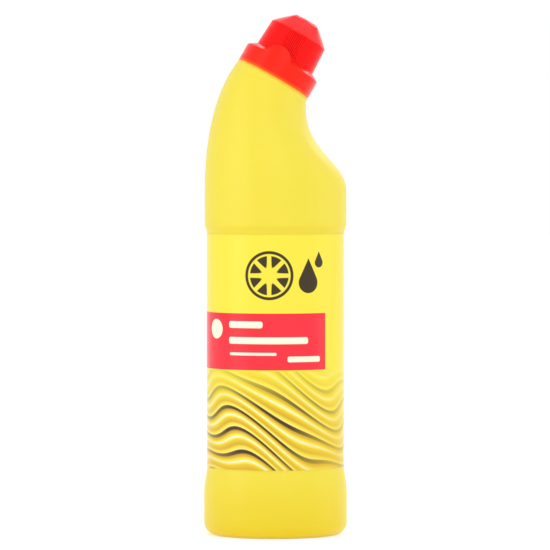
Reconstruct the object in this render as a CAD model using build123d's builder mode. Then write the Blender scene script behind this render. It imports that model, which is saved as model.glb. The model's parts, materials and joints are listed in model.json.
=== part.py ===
from build123d import *

import os
from math import cos, radians, sin

# Upright part of the bottle, from the base up
BASE_WIDTH = 77.0
BASE_DEPTH = 70.0
WALL = 1.0
BASE_CORNER = 7.0
BASE_PUSH_UP = 4.0
BASE_TRIM = 0.1
CONTACT_RING = 5.0
BASE_HEIGHT = 25.5
FLARE_HEIGHT = 10.6
FLARE_ROUND = 50.0
PANEL_RECESS = 1.7
PANEL_ROUND = 10.0
STEP_HEIGHT = 3.8
STEP_ROUND = 1.2
COLUMN_HEIGHT = 18.0
COLUMN_INSET = 0.45

# Bent shoulder, between the column and the collar's seat
SHOULDER_RISE = 60.5
NECK_LEAN = 30.0
NECK_SHIFT = -1.0
SEAT_ROUND = 2.2
OUTER_BEND_LEAVE = 34.0
OUTER_BEND_ARRIVE = 17.0
OUTER_BEND_LEAN = 37.0
INNER_BEND_LEAVE = 16.5
INNER_BEND_ARRIVE = 27.0
INNER_BEND_LEAN = 5.0
SHOULDER_SECTIONS = 9

# Neck finish under the collar
BORE_RADIUS = 11.45
NECK_WALL = 2.0
NECK_LENGTH = 9.0
SNAP_BEAD = 0.7
SNAP_BEAD_PLACE = 3.8
SNAP_BEAD_LENGTH = 1.5

# Wrap label in the panel
LABEL_HEIGHT = 124.9
LABEL_EDGE = 0.6
LABEL_FILM = 0.15
LABEL_GLUE = 0.05
LABEL_LAP = 10.0

# Press-on collar and spout
FIT = 0.15
COLLAR_LIFT = 0.4
COLLAR_HEIGHT = 12.5
COLLAR_WALL = 1.5
DOME_WIDTH = 3.75
DOME_HEIGHT = 3.9
CHANNEL_DEPTH = 5.5
WEB_WALL = 1.4
SLEEVE_WALL = 1.45
SLEEVE_LIFT = 2.2
DECK_WALL = 1.25
PLUG_WALL = 1.1
PLUG_LENGTH = 4.2
SPOUT_RADIUS = 9.0
SPOUT_WALL = 1.3
SPOUT_LENGTH = 12.8
SPOUT_CHAMFER = 1.4
OUTLET_RADIUS = 6.0
OUTLET_LIP = 0.9
OUTLET_LIP_HEIGHT = 0.8
TAB_RISE = 3.2
TAB_RADIUS = 7.8
TAB_TURN = 16.0
TAB_WALL = 1.5
SLOT_LIFT = 2.6
SLOT_HEIGHT = 1.6
SLOT_DEPTH = 0.9

# Sealing disc
DISC_THICKNESS = 1.0
DISC_GAP = 0.2

# Squeeze-and-turn cap
CAP_WALL = 1.4
CAP_GAP = 0.4
CHANNEL_GAP = 0.65
CAP_LIFT = 0.9
CAP_TAPER = 0.95
CAP_SHOULDER = 1.3
CROWN_HEIGHT = 8.8
CROWN_SIDE = 12.6
CROWN_ROUND = 0.7
CAP_TURN = 7.0
THREAD_ROOM = 1.2
CAP_SLEEVE_WALL = 1.4
CAP_SLEEVE_LIFT = 1.8
STOP_WIDTH = 3.2
DISC_BEAD = 0.45
DISC_BEAD_LENGTH = 0.6
RIB_RADIUS = 0.45
RIB_PROUD = 0.3
RIB_COUNT = 11
RIB_SPREAD = 37.0
RIB_MARGIN = 0.4

# Heights and half-widths that follow from these
depth_ratio = BASE_DEPTH / BASE_WIDTH
base_half = BASE_WIDTH / 2
panel_half = base_half - PANEL_RECESS
column_half = base_half - COLUMN_INSET
panel_bottom = BASE_HEIGHT + FLARE_HEIGHT
panel_top = panel_bottom + LABEL_HEIGHT + 2 * LABEL_EDGE
step_top = panel_top + STEP_HEIGHT
shoulder_start = step_top + COLUMN_HEIGHT

# Radii of the closure, worked outwards from the bore
neck_radius = BORE_RADIUS + NECK_WALL
sleeve_inner = neck_radius + FIT
sleeve_outer = sleeve_inner + SLEEVE_WALL
cap_radius = sleeve_outer + CHANNEL_GAP + CAP_WALL
lip_radius = cap_radius + CAP_GAP
collar_radius = lip_radius + DOME_WIDTH
cap_bore = SPOUT_RADIUS + THREAD_ROOM

# Levels of the closure along the neck, from the collar's seat
lip_top = COLLAR_LIFT + COLLAR_HEIGHT
web_top = lip_top - CHANNEL_DEPTH
deck_bottom = NECK_LENGTH + FIT
deck_top = deck_bottom + DECK_WALL
spout_top = deck_top + SPOUT_LENGTH
outlet_top = spout_top + OUTLET_LIP_HEIGHT
disc_bottom = outlet_top + DISC_GAP
stop_level = disc_bottom + DISC_THICKNESS + DISC_GAP
cap_bottom = web_top + CAP_LIFT
cap_edge = stop_level + CAP_SHOULDER
cap_top = cap_edge + CROWN_HEIGHT
cap_edge_radius = cap_radius - CAP_TAPER

# The neck's own frame: up along the neck, out towards the side it leans to
lean = radians(NECK_LEAN)
neck_up = Vector(sin(lean), 0, cos(lean))
neck_out = Vector(cos(lean), 0, -sin(lean))
seat = Vector(NECK_SHIFT, 0, shoulder_start + SHOULDER_RISE)
neck_axis = Axis(seat, neck_up)
across_neck = Plane(origin=seat, x_dir=neck_out, z_dir=neck_up)
along_neck = Plane(origin=seat, x_dir=neck_out, z_dir=(0, -1, 0))


def round_neck(degrees):
    """Direction square to the neck, turned this far from the front towards the outer bend."""
    return Vector(0, -1, 0) * cos(radians(degrees)) - neck_out * sin(radians(degrees))


def heading(degrees):
    """Direction in the plane of the bend, leaning this far from upright."""
    return Vector(sin(radians(degrees)), 0, cos(radians(degrees)))


def shoulder_planes():
    """Planes across the bent shoulder, each with the half-width and half-depth of its oval."""
    seat_rim = seat - neck_up * SEAT_ROUND
    outer_start = Vector(-column_half, 0, shoulder_start)
    outer_end = seat_rim - neck_out * collar_radius
    inner_start = Vector(column_half, 0, shoulder_start)
    inner_end = seat_rim + neck_out * collar_radius
    outer_bend = Bezier(
        outer_start,
        outer_start + heading(0) * OUTER_BEND_LEAVE,
        outer_end - heading(OUTER_BEND_LEAN) * OUTER_BEND_ARRIVE,
        outer_end,
    )
    inner_bend = Bezier(
        inner_start,
        inner_start + heading(0) * INNER_BEND_LEAVE,
        inner_end - heading(INNER_BEND_LEAN) * INNER_BEND_ARRIVE,
        inner_end,
    )
    ovals = []
    for step in range(SHOULDER_SECTIONS):
        along = step / (SHOULDER_SECTIONS - 1)
        outer_point = outer_bend @ along
        inner_point = inner_bend @ along
        span = inner_point - outer_point
        ease = along * along * (3 - 2 * along)
        roundness = depth_ratio + (1 - depth_ratio) * ease
        plane = Plane(
            origin=(outer_point + inner_point) / 2,
            x_dir=span,
            z_dir=span.cross(Vector(0, 1, 0)),
        )
        ovals.append((plane, span.length / 2, span.length / 2 * roundness))
    return ovals


shoulder_ovals = shoulder_planes()


def bottle_form(inset):
    """The bottle as a solid up to the collar's seat, drawn in by the inset and cut level at its foot."""
    loft_start = step_top + STEP_ROUND
    ring_inner = base_half - BASE_CORNER - CONTACT_RING
    dome_top = BASE_PUSH_UP + inset
    foot = inset - BASE_TRIM
    with BuildPart() as form:
        with BuildSketch(Plane.XZ):
            with BuildLine():
                TangentArc((0, dome_top), (ring_inner, foot), tangent=(1, 0))
                FilletPolyline(
                    (ring_inner, foot),
                    (base_half - inset, foot),
                    (base_half - inset, BASE_HEIGHT),
                    (panel_half - inset, panel_bottom),
                    (panel_half - inset, panel_top),
                    (column_half - inset, step_top),
                    (column_half - inset, loft_start),
                    radius=[
                        BASE_CORNER - inset,
                        FLARE_ROUND - inset,
                        PANEL_ROUND + inset,
                        STEP_ROUND + inset,
                        STEP_ROUND,
                    ],
                )
                Line((column_half - inset, loft_start), (0, loft_start))
                Line((0, loft_start), (0, dome_top))
            make_face()
        revolve(axis=Axis.Z)
        scale(by=(1, depth_ratio, 1))
        split(bisect_by=Plane.XY.offset(inset))
        for level in (loft_start, (loft_start + shoulder_start) / 2):
            with BuildSketch(Plane.XY.offset(level)):
                Ellipse(column_half - inset, (column_half - inset) * depth_ratio)
        for plane, half_width, half_depth in shoulder_ovals:
            with BuildSketch(plane):
                Ellipse(half_width - inset, half_depth - inset * half_depth / half_width)
        loft()
    return form.part


outer_form = bottle_form(0.0)
inner_form = bottle_form(WALL)

# Bottle: shell of even wall, with the collar's seat and the neck finish turned about the neck
bead_top = SNAP_BEAD_PLACE + SNAP_BEAD_LENGTH
with BuildPart() as bottle:
    add(outer_form)
    with BuildSketch(along_neck):
        with BuildLine():
            rim = TangentArc(
                (collar_radius, -SEAT_ROUND),
                (collar_radius - SEAT_ROUND, 0),
                tangent=(0, 1),
            )
            Polyline(
                rim @ 1,
                (neck_radius, 0),
                (neck_radius, SNAP_BEAD_PLACE),
                (neck_radius + SNAP_BEAD, SNAP_BEAD_PLACE),
                (neck_radius + SNAP_BEAD, bead_top - SNAP_BEAD),
                (neck_radius, bead_top),
                (neck_radius, NECK_LENGTH),
                (0, NECK_LENGTH),
                (0, -SEAT_ROUND),
                rim @ 0,
            )
        make_face()
    revolve(axis=neck_axis)
    add(inner_form, mode=Mode.SUBTRACT)
    with BuildSketch(along_neck):
        with BuildLine():
            Polyline(
                (0, -SEAT_ROUND),
                (collar_radius - WALL, -SEAT_ROUND),
                (BORE_RADIUS, -WALL),
                (BORE_RADIUS, NECK_LENGTH),
                (0, NECK_LENGTH),
                close=True,
            )
        make_face()
    revolve(axis=neck_axis, mode=Mode.SUBTRACT)

# Label: film wrapped round the panel, lapped over itself at the back
film_inner = panel_half + LABEL_GLUE
film_inner_depth = panel_half * depth_ratio + LABEL_GLUE
label_bottom = panel_bottom + LABEL_EDGE
with BuildPart() as label:
    with BuildSketch(Plane.XY.offset(label_bottom)):
        Ellipse(film_inner + LABEL_FILM, film_inner_depth + LABEL_FILM)
        Ellipse(film_inner, film_inner_depth, mode=Mode.SUBTRACT)
    extrude(amount=LABEL_HEIGHT)
    with BuildSketch(Plane.XY.offset(label_bottom)):
        Ellipse(film_inner + 2 * LABEL_FILM, film_inner_depth + 2 * LABEL_FILM)
        Ellipse(film_inner, film_inner_depth, mode=Mode.SUBTRACT)
        with Locations((0, film_inner_depth)):
            Rectangle(LABEL_LAP, film_inner_depth, mode=Mode.INTERSECT)
    extrude(amount=LABEL_HEIGHT)

# Collar tabs: arches cut from a thin ring that carries on up from the collar's wall
tab_top = lip_top + TAB_RISE
tab_front = round_neck(TAB_TURN)
with BuildPart() as tabs:
    with BuildSketch(along_neck):
        with BuildLine():
            Polyline(
                (collar_radius - TAB_WALL, web_top),
                (collar_radius, web_top),
                (collar_radius, tab_top),
                (collar_radius - TAB_WALL, tab_top),
                close=True,
            )
        make_face()
    revolve(axis=neck_axis)
    with BuildSketch(Plane(origin=seat, x_dir=neck_up.cross(tab_front), z_dir=tab_front)):
        with Locations((0, tab_top - TAB_RADIUS)):
            Circle(TAB_RADIUS)
    extrude(amount=2 * collar_radius, both=True, mode=Mode.INTERSECT)

# Spout collar: one turned moulding, its tabs added and a slot cut in each side
collar_inner = collar_radius - COLLAR_WALL
dome_start = lip_top - DOME_HEIGHT
plug_outer = BORE_RADIUS - FIT
plug_inner = plug_outer - PLUG_WALL
plug_bottom = deck_bottom - PLUG_LENGTH
spout_inner = SPOUT_RADIUS - SPOUT_WALL
groove_radius = sleeve_inner + SNAP_BEAD
groove_bottom = SNAP_BEAD_PLACE - FIT
groove_top = bead_top + FIT
with BuildPart() as spout_collar:
    with BuildSketch(along_neck):
        with BuildLine():
            dome = TangentArc((collar_radius, dome_start), (lip_radius, lip_top), tangent=(0, 1))
            under_dome = TangentArc(
                (collar_inner, dome_start),
                (lip_radius, lip_top - COLLAR_WALL),
                tangent=(0, 1),
            )
            Line(dome @ 1, under_dome @ 1)
            Polyline(
                under_dome @ 0,
                (collar_inner, web_top),
                (sleeve_outer, web_top),
                (sleeve_outer, deck_top),
                (SPOUT_RADIUS, deck_top),
                (SPOUT_RADIUS, spout_top - SPOUT_CHAMFER),
                (SPOUT_RADIUS - SPOUT_CHAMFER, spout_top),
                (OUTLET_RADIUS + OUTLET_LIP, spout_top),
                (OUTLET_RADIUS + OUTLET_LIP, outlet_top),
                (OUTLET_RADIUS, outlet_top),
                (OUTLET_RADIUS, spout_top - SPOUT_WALL),
                (spout_inner, spout_top - SPOUT_WALL - SPOUT_CHAMFER),
                (spout_inner, deck_bottom),
                (plug_inner, deck_bottom),
                (plug_inner, plug_bottom),
                (plug_outer, plug_bottom),
                (plug_outer, deck_bottom),
                (sleeve_inner, deck_bottom),
                (sleeve_inner, groove_top),
                (groove_radius, groove_top - SNAP_BEAD),
                (groove_radius, groove_bottom),
                (sleeve_inner, groove_bottom),
                (sleeve_inner, SLEEVE_LIFT),
                (sleeve_outer, SLEEVE_LIFT),
                (sleeve_outer, web_top - WEB_WALL),
                (collar_inner, web_top - WEB_WALL),
                (collar_inner, COLLAR_LIFT),
                (collar_radius, COLLAR_LIFT),
                dome @ 0,
            )
        make_face()
    revolve(axis=neck_axis)
    add(tabs.part)
    with BuildSketch(across_neck.offset(COLLAR_LIFT + SLOT_LIFT)):
        with Locations((collar_radius, 0), (-collar_radius, 0)):
            Rectangle(2 * SLOT_DEPTH, 2 * collar_radius)
    extrude(amount=SLOT_HEIGHT, mode=Mode.SUBTRACT)

# Sealing disc: the wad under the cap's stop, a little above the outlet's lip
disc_radius = cap_bore - DISC_GAP
with BuildPart() as sealing_disc:
    with BuildSketch(across_neck.offset(disc_bottom)):
        Circle(disc_radius)
    extrude(amount=DISC_THICKNESS)


# The cap's own plane, turned with its pads
across_cap = Plane(origin=seat, x_dir=neck_up.cross(round_neck(CAP_TURN)), z_dir=neck_up)


def cap_form(inset, bottom):
    """The cap as a solid: tapered round wall, then four faces ruled from the circle to a square top."""
    edge_radius = cap_edge_radius - inset
    edge_level = cap_edge - inset / 2
    with BuildPart() as form:
        with BuildSketch(along_neck):
            with BuildLine():
                Polyline(
                    (0, bottom),
                    (cap_radius - inset, bottom),
                    (edge_radius, edge_level),
                    (0, edge_level),
                    close=True,
                )
            make_face()
        revolve(axis=neck_axis)
        with BuildSketch(across_cap.offset(edge_level)):
            with BuildLine():
                for quarter in range(4):
                    CenterArc((0, 0), edge_radius, 90 * quarter + 45, 90)
            make_face()
        with BuildSketch(across_cap.offset(cap_top - inset)):
            Rectangle(CROWN_SIDE - inset, CROWN_SIDE - inset)
        loft(ruled=True)
    return form.part


cap_outside = cap_form(0.0, cap_bottom)
cap_inside = cap_form(CAP_WALL, cap_bottom)

# Cap sleeve: the inner wall that takes the thread, with the disc's stop above and its bead below
bead_level = disc_bottom - DISC_GAP
sleeve_bottom = deck_top + CAP_SLEEVE_LIFT
with BuildPart() as cap_sleeve:
    with BuildSketch(along_neck):
        with BuildLine():
            Polyline(
                (cap_bore, sleeve_bottom),
                (cap_bore + CAP_SLEEVE_WALL, sleeve_bottom),
                (cap_bore + CAP_SLEEVE_WALL, cap_top),
                (cap_bore - STOP_WIDTH, cap_top),
                (cap_bore - STOP_WIDTH, stop_level),
                (cap_bore, stop_level),
                (cap_bore, bead_level),
                (cap_bore - DISC_BEAD, bead_level - DISC_BEAD_LENGTH / 2),
                (cap_bore, bead_level - DISC_BEAD_LENGTH),
                close=True,
            )
        make_face()
    revolve(axis=neck_axis)
    add(cap_outside, mode=Mode.INTERSECT)

# Cap: hollow wall and crown round the sleeve, with a pad of grip ribs front and back
taper_rate = CAP_TAPER / (cap_edge - cap_bottom)
rib_bottom = lip_top + RIB_MARGIN
rib_top = cap_edge - RIB_MARGIN
rib_pitch = RIB_SPREAD / (RIB_COUNT - 1)
with BuildPart() as cap:
    add(cap_outside)
    fillet(cap.faces().sort_by(neck_axis)[-1].edges(), CROWN_ROUND)
    add(cap_inside, mode=Mode.SUBTRACT)
    add(cap_sleeve.part)
    for pad_middle in (CAP_TURN, CAP_TURN + 180):
        for rib in range(RIB_COUNT):
            outward = round_neck(pad_middle - RIB_SPREAD / 2 + rib * rib_pitch)
            foot_radius = cap_radius - taper_rate * (rib_bottom - cap_bottom) + RIB_PROUD - RIB_RADIUS
            foot = seat + neck_up * rib_bottom + outward * foot_radius
            with BuildSketch(Plane(origin=foot, x_dir=outward, z_dir=neck_up - outward * taper_rate)):
                Circle(RIB_RADIUS)
            extrude(amount=rib_top - rib_bottom)

os.makedirs("parts", exist_ok=True)
for name, piece in (
    ("bottle", bottle),
    ("label", label),
    ("spout_collar", spout_collar),
    ("sealing_disc", sealing_disc),
    ("cap", cap),
):
    piece.part.label = name
    export_step(piece.part, f"parts/{name}.step")
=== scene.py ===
# %% [markdown]
# # A bleach bottle with a bent neck
#
# The object is a yellow blow-moulded bottle, a printed film round its middle, and a red closure of two
# mouldings that has to be squeezed before it turns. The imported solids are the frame: they hold every
# size and carry the joints. This lesson puts the finished surfaces over them, one piece at a time, and
# works in millimetres until a mesh is made, because that is how such a pack is drawn.

# %% Load the frame
import json

import bpy
import numpy as np
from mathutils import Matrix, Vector


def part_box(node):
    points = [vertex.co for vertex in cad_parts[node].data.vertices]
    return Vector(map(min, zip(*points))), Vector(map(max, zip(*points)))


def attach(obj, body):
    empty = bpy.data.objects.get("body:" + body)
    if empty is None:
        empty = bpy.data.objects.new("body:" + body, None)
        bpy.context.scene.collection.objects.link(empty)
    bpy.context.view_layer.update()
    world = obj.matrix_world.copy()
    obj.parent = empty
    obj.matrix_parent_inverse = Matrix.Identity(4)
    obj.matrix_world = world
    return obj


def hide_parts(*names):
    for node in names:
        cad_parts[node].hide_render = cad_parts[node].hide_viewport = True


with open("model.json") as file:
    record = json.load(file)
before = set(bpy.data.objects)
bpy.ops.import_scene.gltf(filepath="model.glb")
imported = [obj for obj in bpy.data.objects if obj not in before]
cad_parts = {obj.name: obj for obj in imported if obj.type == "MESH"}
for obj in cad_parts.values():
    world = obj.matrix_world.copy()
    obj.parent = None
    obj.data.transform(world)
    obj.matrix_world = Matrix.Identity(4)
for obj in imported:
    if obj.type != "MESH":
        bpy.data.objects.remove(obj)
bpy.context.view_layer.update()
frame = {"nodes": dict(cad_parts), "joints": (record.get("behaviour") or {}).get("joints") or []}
MM = 0.001
print("frame nodes:", sorted(frame["nodes"]))

# %% [markdown]
# ## The neck's own directions
#
# Everything above the shoulder is turned about the neck, which leans over. The screw joint in the frame
# already knows that line, so the seat of the collar and the two directions come from it and not from a
# second set of numbers.

# %% Neck directions from the joint
turn_joint = next(joint for joint in frame["joints"] if joint["name"] == "cap_turn")
seat = np.array(turn_joint["pos_m"]) / MM
neck_up = np.array(turn_joint["axis"])
neck_out = np.array([neck_up[2], 0.0, -neck_up[0]])
to_back = np.array([0.0, 1.0, 0.0])
print("seat in mm:", seat, "neck leans by", round(float(np.degrees(np.arcsin(neck_up[0]))), 1), "degrees")

# %% [markdown]
# ## Tools for surfaces on a grid
#
# Each piece is a grid of points: rows run along a profile and columns run round it. A few small tools
# are shared by all of them. They round the corners of a profile, join a grid into faces, close its ends
# with poles, and put the arrays into a mesh. Whole arrays are faster than loops, and a formula is easier
# to change than a pile of edited vertices.

# %% Profile tool
ARC_STEP = np.radians(9.0)
HOLD = 0.3


def rounded_path(corners, spacing, closed=False):
    """Points along straight runs between corners, each given as x, y and the radius of its arc.

    An arc of radius r starts r * tan(turn / 2) before its corner and leaves as far behind it, so both
    runs are its tangents. Long runs are divided, with one point close to each end to hold the shading.
    """
    corners, radii = np.split(np.asarray(corners, float), [2], axis=1)
    before = corners - np.roll(corners, 1, axis=0)
    after = np.roll(corners, -1, axis=0) - corners
    stops = []
    for corner, ahead, away, radius in zip(corners, before, after, radii[:, 0]):
        ahead = ahead / np.linalg.norm(ahead)
        away = away / np.linalg.norm(away)
        turn = np.arctan2(ahead[0] * away[1] - ahead[1] * away[0], ahead @ away)
        inward = np.sign(turn) * np.array([-ahead[1], ahead[0]])
        start = corner - ahead * radius * np.tan(abs(turn) / 2)
        sweep = np.linspace(0, abs(turn), max(4, int(abs(turn) / ARC_STEP) + 2))[:, None]
        arc = start + radius * (inward * (1 - np.cos(sweep)) + ahead * np.sin(sweep))
        stops.append(arc if radius else corner[None])
    if closed:
        stops.append(stops[0][:1])
    points = np.concatenate(stops)
    gaps = np.linalg.norm(np.diff(points, axis=0), axis=1)
    along = np.concatenate([[0.0], np.cumsum(gaps)])
    marks = [along]
    for start, gap in zip(along, gaps):
        if gap > 2.5 * HOLD:
            inner = np.linspace(start + HOLD, start + gap - HOLD, max(2, int(np.ceil(gap / spacing))))
            marks.append(inner)
    marks = np.sort(np.concatenate(marks))
    path = np.column_stack([np.interp(marks, along, points[:, axis]) for axis in (0, 1)])
    return path[:-1] if closed else path


print("arcs turn by", round(float(np.degrees(ARC_STEP)), 1), "degrees or less at each point")


# %% Grid and mesh tools
def grid_quads(rows, columns, wrap_rows=False, wrap_columns=True):
    """Four corners of every cell of a grid; a wrapped side joins its last line back to its first."""
    row = np.arange(rows if wrap_rows else rows - 1)[:, None]
    column = np.arange(columns if wrap_columns else columns - 1)[None, :]
    here, above = row * columns, (row + 1) % rows * columns
    beside = (column + 1) % columns
    corners = here + column, here + beside, above + beside, above + column
    return np.stack(np.broadcast_arrays(*corners), axis=-1).reshape(-1, 4)


def pole_fan(pole, ring, flip=False):
    """Triangles from one pole point to a closed ring of points."""
    fan = np.column_stack([np.full(len(ring), pole), np.roll(ring, -1), ring])
    return fan[:, ::-1] if flip else fan


def closed_shell(grid, poles):
    """Points, quads and fans of a grid that wraps round, with one pole before it and one behind it."""
    rows, columns = grid.shape[:2]
    points = np.vstack([grid.reshape(-1, 3), poles])
    first_ring = np.arange(columns)
    last_ring = first_ring + (rows - 1) * columns
    fans = [pole_fan(len(points) - 2, first_ring), pole_fan(len(points) - 1, last_ring, flip=True)]
    return points, grid_quads(rows, columns), np.vstack(fans)


def add_piece(name, points, quads, tris, body, slot, node=None):
    """A smooth-shaded mesh of points in millimetres that rides on a body and may stand for a node."""
    tris = np.zeros((0, 3), int) if tris is None else tris
    corner_index = np.concatenate([quads.ravel(), tris.ravel()]).astype(np.int32)
    sizes = np.concatenate([np.full(len(quads), 4), np.full(len(tris), 3)])
    starts = (np.cumsum(sizes) - sizes).astype(np.int32)
    mesh = bpy.data.meshes.new(name)
    mesh.vertices.add(len(points))
    mesh.vertices.foreach_set("co", (points * MM).astype(np.float32).ravel())
    mesh.loops.add(len(corner_index))
    mesh.loops.foreach_set("vertex_index", corner_index)
    mesh.polygons.add(len(starts))
    mesh.polygons.foreach_set("loop_start", starts)
    mesh.update(calc_edges=True)
    mesh.shade_smooth()
    piece = bpy.data.objects.new(name, mesh)
    bpy.context.scene.collection.objects.link(piece)
    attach(piece, body)
    if node:
        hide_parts(node)
    print(name, "has", len(points), "points and", 2 * len(quads) + len(tris), "triangles")
    return piece


print("a tube of 3 rows and 8 columns has", len(grid_quads(3, 8)), "quads")

# %% [markdown]
# ## The blown bottle
#
# A bottle like this is blown from one tube of soft plastic in a mould of two halves. Its body is a
# stack of ovals, its shoulder bends over, and the neck above is round. One grid can carry all of it:
# each row is an oval with a centre, a direction across, a half-width and a half-depth, and the rows run
# up the outside, over the neck's rim and down the inside. The mould leaves a fine ridge where its halves
# met and a pinched weld under the base, and both are small changes to the same arrays.

# %% Sizes of the bottle
bottle_high = np.array(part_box("bottle")[1]) / MM
label_low, label_high = (np.array(corner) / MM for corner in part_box("label"))
collar_high = np.array(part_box("spout_collar")[1]) / MM
WALL = 1.0
BASE_CORNER = 7.0
BASE_PUSH_UP = 4.0
CONTACT_INNER = 26.5
BASE_HEIGHT = 25.5
FLARE_ROUND = 50.0
PANEL_RECESS = 1.7
PANEL_ROUND = 10.0
LABEL_EDGE = 0.6
STEP_HEIGHT = 3.8
STEP_ROUND = 1.2
COLUMN_INSET = 0.45
SHOULDER_RISE = 60.5
SEAM_HEIGHT, SEAM_WIDTH = 0.1, 0.35
base_half = bottle_high[0] - SEAM_HEIGHT
depth_ratio = bottle_high[1] / bottle_high[0]
panel_half = base_half - PANEL_RECESS
column_half = base_half - COLUMN_INSET
panel_bottom = label_low[2] - LABEL_EDGE
panel_top = label_high[2] + LABEL_EDGE
step_top = panel_top + STEP_HEIGHT
shoulder_start = seat[2] - SHOULDER_RISE
print("panel from", round(panel_bottom, 1), "to", round(panel_top, 1), "mm; shoulder from", shoulder_start)

# %% Radii round the neck
COLLAR_WALL, DOME_WIDTH = 1.5, 3.75
CAP_GAP, CAP_WALL, CHANNEL_GAP = 0.4, 1.4, 0.65
SLEEVE_WALL, NECK_WALL, FIT = 1.45, 2.0, 0.15
collar_radius = collar_high[1]
collar_inner = collar_radius - COLLAR_WALL
lip_radius = collar_radius - DOME_WIDTH
cap_radius = lip_radius - CAP_GAP
sleeve_outer = cap_radius - CAP_WALL - CHANNEL_GAP
sleeve_inner = sleeve_outer - SLEEVE_WALL
neck_radius = sleeve_inner - FIT
bore_radius = neck_radius - NECK_WALL
radii = [collar_radius, cap_radius, neck_radius, bore_radius]
print("collar, cap, neck and bore radii:", np.round(radii, 2))

# %% Rows of the upright body
DOME_ROWS = 22
OUTSIDE_SPACING, INSIDE_SPACING = 3.0, 8.0


def base_dome(inset):
    """Pushed-up base: an arc that is level on the axis, height = push-up - R + sqrt(R^2 - r^2)."""
    radius = np.linspace(0.0, CONTACT_INNER, DOME_ROWS)
    arc = (CONTACT_INNER**2 + BASE_PUSH_UP**2) / (2 * BASE_PUSH_UP)
    return np.column_stack([radius, inset + BASE_PUSH_UP - arc + np.sqrt(arc**2 - radius**2)])


def body_wall(inset, spacing):
    """Base corner, flare, label panel, step and column as one rounded line of (radius, height)."""
    corners = [
        (CONTACT_INNER, inset, 0.0),
        (base_half - inset, inset, BASE_CORNER - inset),
        (base_half - inset, BASE_HEIGHT, FLARE_ROUND),
        (panel_half - inset, panel_bottom, PANEL_ROUND),
        (panel_half - inset, panel_top, STEP_ROUND),
        (column_half - inset, step_top, STEP_ROUND),
        (column_half - inset, shoulder_start, 0.0),
    ]
    return rounded_path(corners, spacing)


def upright_rings(path):
    """Each (radius, height) becomes an oval about the upright axis, narrower in depth."""
    radius, height = path.T
    zero = np.zeros_like(radius)
    return np.column_stack([zero, height, zero + 1, zero, radius, radius * depth_ratio])


print("the body's outline has", len(body_wall(0.0, OUTSIDE_SPACING)), "rows")

# %% Rows of the bent shoulder
SEAT_ROUND = 2.2
OUTER_BEND = (34.0, 17.0, 37.0)
INNER_BEND = (16.5, 27.0, 5.0)


def bend_rail(side, bend, along):
    """Cubic curve in the plane of the bend, from the column straight up to the collar's seat.

    The curve leaves upright for the first length and arrives along the lean for the second one.
    """
    leave, arrive, lean = bend[0], bend[1], np.radians(bend[2])
    start = np.array([side * column_half, shoulder_start])
    end = (seat - neck_up * SEAT_ROUND + side * neck_out * collar_radius)[[0, 2]]
    second = start + np.array([0.0, leave])
    third = end - arrive * np.array([np.sin(lean), np.cos(lean)])
    t = along[:, None]
    return (1 - t) ** 3 * start + 3 * t * (1 - t) ** 2 * second + 3 * t**2 * (1 - t) * third + t**3 * end


def shoulder_rings(along, inset):
    """Ovals held between the outer and inner rails; their depth eases from the body's to round."""
    outer = bend_rail(-1, OUTER_BEND, along)
    inner = bend_rail(1, INNER_BEND, along)
    span = np.linalg.norm(inner - outer, axis=1)
    roundness = depth_ratio + (1 - depth_ratio) * along**2 * (3 - 2 * along)
    across = (inner - outer) / span[:, None]
    half = span / 2 - inset
    return np.column_stack([(outer + inner) / 2, across, half, half * roundness])


print("the shoulder ends", round(float(bend_rail(-1, OUTER_BEND, np.ones(1))[0, 1]), 1), "mm up at its back")

# %% Rows of the neck
SEAT_EDGE = 1.0
NECK_LENGTH = 9.0
SNAP_BEAD = 0.7
BEAD_LOW, BEAD_HIGH = 3.8, 5.3
NECK_SPACING = 2.0


def neck_rings(path):
    """Each (radius, level) becomes a circle square to the neck, level measured up from the seat."""
    radius, level = path.T
    centre = (seat + level[:, None] * neck_up)[:, [0, 2]]
    across = np.broadcast_to(neck_out[[0, 2]], centre.shape)
    return np.column_stack([centre, across, radius, radius])


neck_corners = [
    (collar_radius, -SEAT_ROUND, 0.0), (collar_radius, 0.0, SEAT_EDGE), (neck_radius, 0.0, 0.3),
    (neck_radius, BEAD_LOW, 0.2), (neck_radius + SNAP_BEAD, BEAD_LOW, 0.2),
    (neck_radius + SNAP_BEAD, BEAD_HIGH - SNAP_BEAD, 0.2), (neck_radius, BEAD_HIGH, 0.3),
    (neck_radius, NECK_LENGTH, 0.5), (bore_radius, NECK_LENGTH, 0.5), (bore_radius, -WALL, 0.3),
    (collar_radius - WALL, -SEAT_ROUND, 0.0),
]
neck_path = rounded_path(neck_corners, NECK_SPACING)
print("the neck's profile has", len(neck_path), "points")

# %% The bottle as one grid
SHOULDER_ROWS, INSIDE_SHOULDER_ROWS = 91, 41
BOTTLE_COLUMNS = 144
outside = np.vstack(
    [
        upright_rings(base_dome(0.0)[1:]),
        upright_rings(body_wall(0.0, OUTSIDE_SPACING)[1:]),
        shoulder_rings(np.linspace(0, 1, SHOULDER_ROWS)[1:], 0.0),
    ]
)
inside = np.vstack(
    [
        shoulder_rings(np.linspace(1, 0, INSIDE_SHOULDER_ROWS)[1:], WALL),
        upright_rings(body_wall(WALL, INSIDE_SPACING)[::-1][1:]),
        upright_rings(base_dome(WALL)[::-1][1:-1]),
    ]
)
rings = np.vstack([outside, neck_rings(neck_path[1:]), inside])
near_seam = np.array([-1.2, -0.75, -0.45, -0.2, 0.2, 0.45, 0.75, 1.2]) / base_half
even = np.linspace(0, 2 * np.pi, BOTTLE_COLUMNS, endpoint=False)
angle = np.sort(np.concatenate([even, near_seam, np.pi + near_seam]) % (2 * np.pi))


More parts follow.
